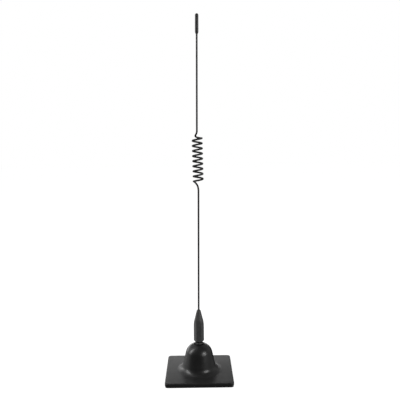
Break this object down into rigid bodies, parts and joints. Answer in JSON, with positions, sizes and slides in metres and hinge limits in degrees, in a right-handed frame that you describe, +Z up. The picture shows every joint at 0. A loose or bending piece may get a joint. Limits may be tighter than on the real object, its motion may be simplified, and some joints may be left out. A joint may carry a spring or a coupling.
{
  "type": "omnidirectional antenna",
  "caption": "Adhesive-mount whip antenna: square foot with a bell, hexagonal ferrule on a threaded stud, and a thin whip with an open phasing coil.",
  "frame": {"origin": "middle of the adhesive face that the antenna stands on", "axes": "+Z up along the whip, +X to the right and +Y away from a viewer who faces one flat side of the foot and one flat of the ferrule"},
  "size_m": [0.06, 0.06, 0.32],
  "materials": {
    "moulded_black": "satin black moulded plastic",
    "cap_black": "matte black moulded plastic",
    "coated_wire": "black coated spring steel",
    "coated_ferrule": "satin black plated and coated turned metal",
    "seal_rubber": "black nitrile rubber",
    "foam_tape": "black closed-cell foam tape",
    "brass_sheet": "rolled brass sheet",
    "plated_steel": "bright zinc plate"
  },
  "bodies": {
    "foot": {"adhesive_tape": "foam_tape", "coupling_plate": "brass_sheet", "foot_cover": "moulded_black", "plate_screw_1": "plated_steel", "plate_screw_2": "plated_steel", "plate_screw_3": "plated_steel", "plate_screw_4": "plated_steel", "stud": "coated_ferrule", "crown_seal": "seal_rubber", "stud_washer": "plated_steel", "contact_strap": "brass_sheet", "strap_rivet": "brass_sheet", "lock_washer": "plated_steel", "stud_nut": "plated_steel"},
    "seal": {"ferrule_gasket": "seal_rubber"},
    "mast": {"ferrule": "coated_ferrule", "lower_whip": "coated_wire"},
    "coil": {"phasing_coil": "coated_wire"},
    "tip": {"upper_whip": "coated_wire", "tip_cap": "cap_black"}
  },
  "joints": [
    {"name": "ferrule_lift", "type": "slide", "parent": "foot", "child": "seal", "axis": [0, 0, 1], "range_m": [0, 0.0088]},
    {"name": "ferrule_turn", "type": "hinge", "parent": "seal", "child": "mast", "pos_m": [0, 0, 0.0298], "axis": [0, 0, 1], "range_deg": [0, 3960]},
    {"name": "coil_flex_sideways", "type": "hinge", "parent": "mast", "child": "coil", "pos_m": [0.0008, 0, 0.1855], "axis": [0, 1, 0], "range_deg": [-45, 45], "stiffness_Nm_per_rad": 0.21, "deforming": ["phasing_coil"]},
    {"name": "coil_flex_forward", "type": "hinge", "parent": "coil", "child": "tip", "pos_m": [0.0005, 0, 0.2044], "axis": [1, 0, 0], "range_deg": [-45, 45], "stiffness_Nm_per_rad": 0.21}
  ],
  "couplings": [
    {"joint": "ferrule_turn", "follows": "ferrule_lift", "rad_per_m": 7854}
  ]
}
